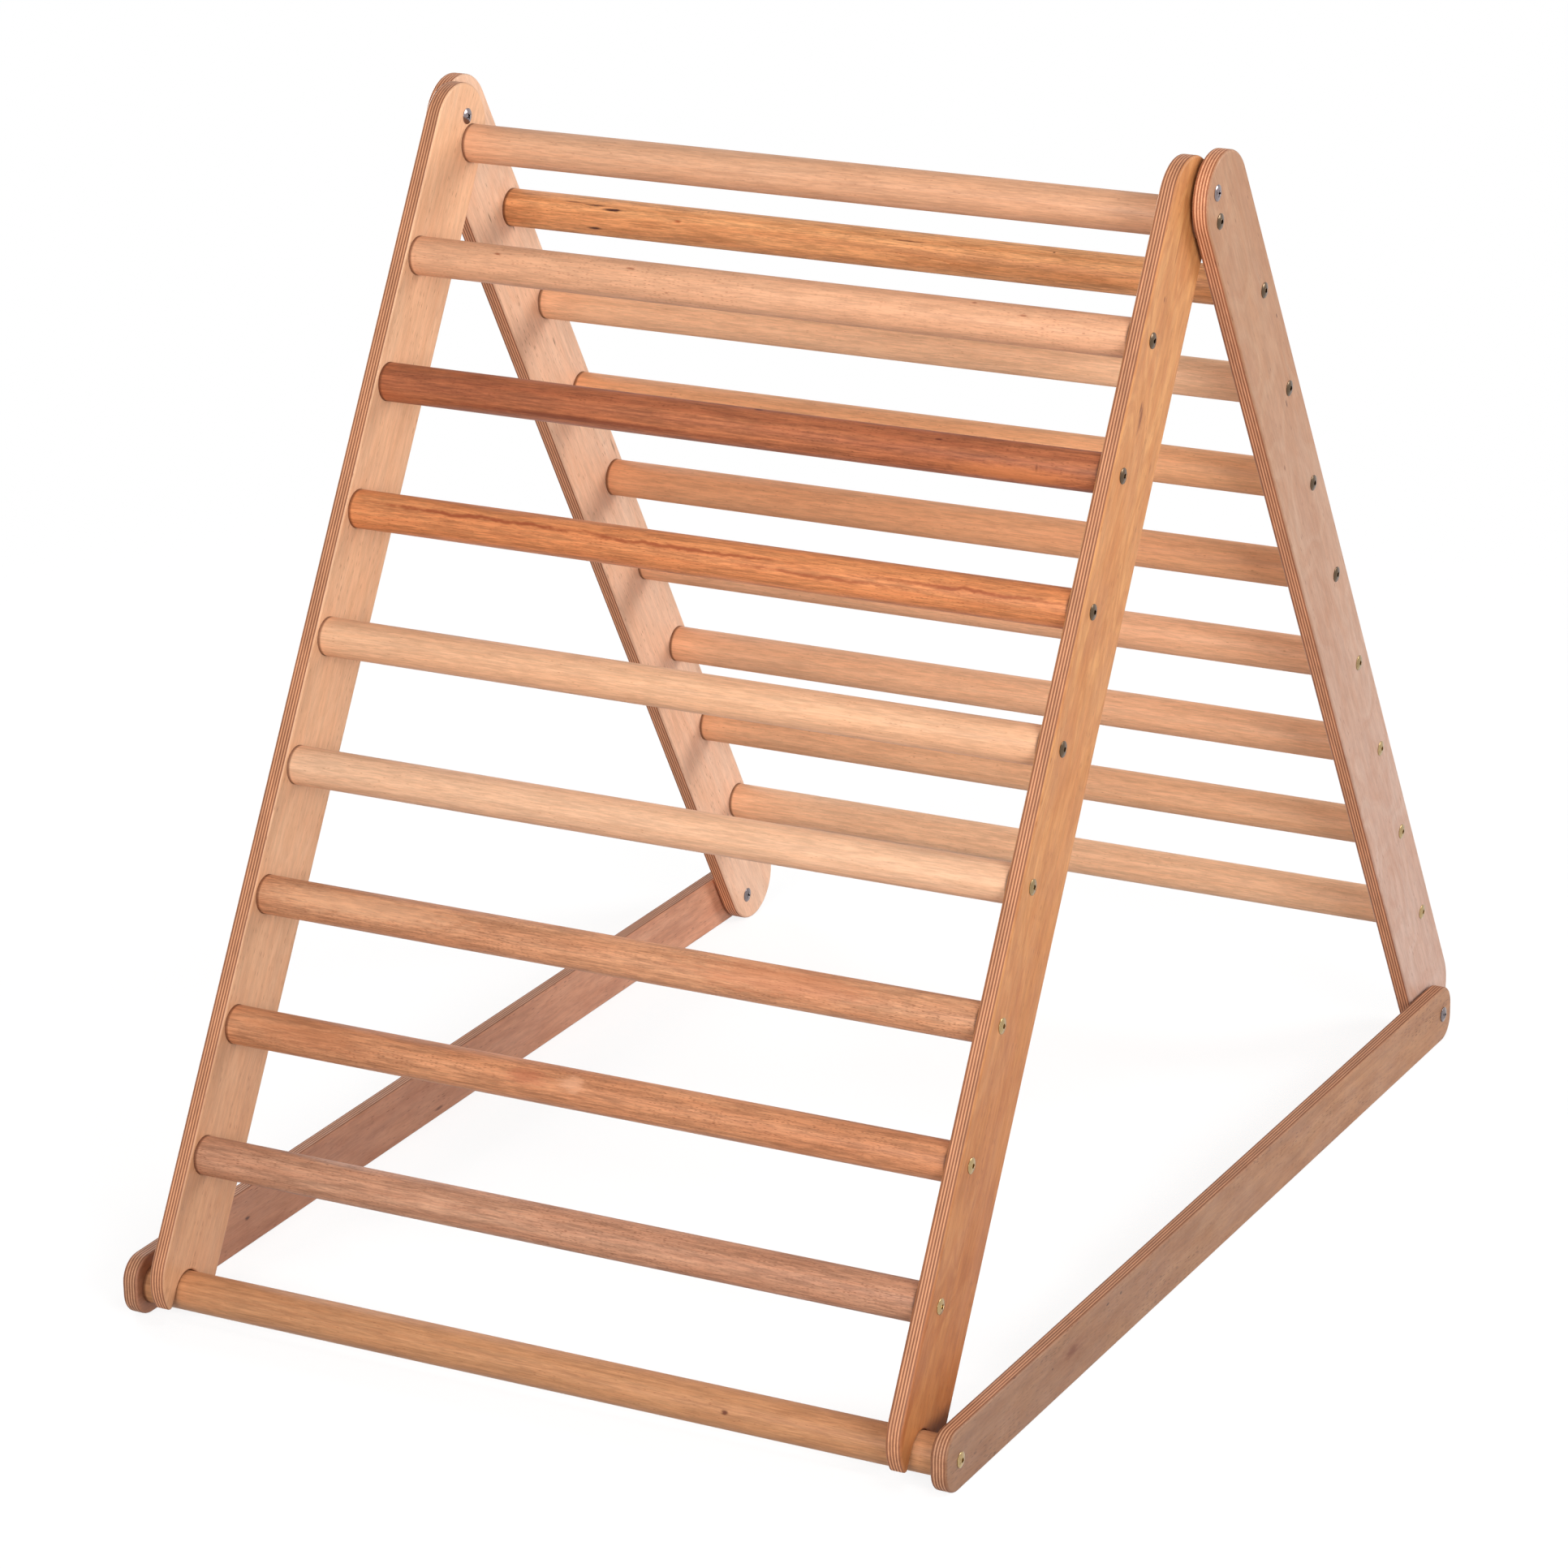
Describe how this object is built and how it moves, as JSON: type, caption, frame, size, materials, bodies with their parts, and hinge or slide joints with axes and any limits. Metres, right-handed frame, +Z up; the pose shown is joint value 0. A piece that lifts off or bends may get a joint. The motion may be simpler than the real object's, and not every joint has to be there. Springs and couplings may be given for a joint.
{
  "type": "folding climbing triangle",
  "caption": "Wooden climbing frame for small children: two rung ladders hinged at a shared top rung, held open by a floor frame that the front feet hook over.",
  "frame": {"origin": "on the floor, in the middle of the footprint", "axes": "+Z up, X along the rungs, +Y from the front ladder to the rear ladder"},
  "size_m": [0.8116, 1.163, 0.9962],
  "materials": {
    "ply": "oiled birch plywood",
    "beech_light": "oiled beech",
    "beech_pink": "oiled beech with flecks",
    "beech_orange": "oiled beech, streaked",
    "beech_brown": "oiled steamed beech",
    "beech_red": "oiled dark beech",
    "zinc": "nickel plated with a warm tint",
    "chrome": "polished",
    "nylon": "matt"
  },
  "bodies": {
    "rear_ladder": {"rear_rail_left": "ply", "rear_rail_right": "ply", "rear_rung_1": "beech_orange", "rear_rung_2": "beech_light", "rear_rung_3": "beech_light", "rear_rung_4": "beech_light", "rear_rung_5": "beech_light", "rear_rung_6": "beech_light", "rear_rung_7": "beech_light", "rear_rung_8": "beech_light", "top_rung": "beech_light", "rear_rung_screws": "zinc", "top_rung_screws": "zinc", "lock_bolt_screws": "chrome", "lock_spacers": "nylon", "corner_bolt_screws": "chrome", "corner_bolt_sleeves": "chrome", "corner_spacers": "nylon"},
    "front_ladder": {"front_rail_left": "ply", "front_rail_right": "ply", "front_rung_1": "beech_pink", "front_rung_2": "beech_red", "front_rung_3": "beech_orange", "front_rung_4": "beech_light", "front_rung_5": "beech_light", "front_rung_6": "beech_brown", "front_rung_7": "beech_brown", "front_rung_8": "beech_brown", "front_rung_screws": "zinc", "lock_bolt_sleeves": "chrome"},
    "base_frame": {"base_arm_left": "ply", "base_arm_right": "ply", "base_rung": "beech_light", "base_rung_screws": "zinc"}
  },
  "joints": [
    {"name": "front_fold", "type": "hinge", "parent": "rear_ladder", "child": "front_ladder", "pos_m": [0, 0.00315, 0.9382], "axis": [1, 0, 0], "range_deg": [0, 59.5]},
    {"name": "base_fold", "type": "hinge", "parent": "rear_ladder", "child": "base_frame", "pos_m": [0, 0.52664, 0.0275], "axis": [1, 0, 0], "range_deg": [0, 119]}
  ],
  "couplings": [
    {"joint": "base_fold", "follows": "front_fold", "ratio": 2}
  ]
}
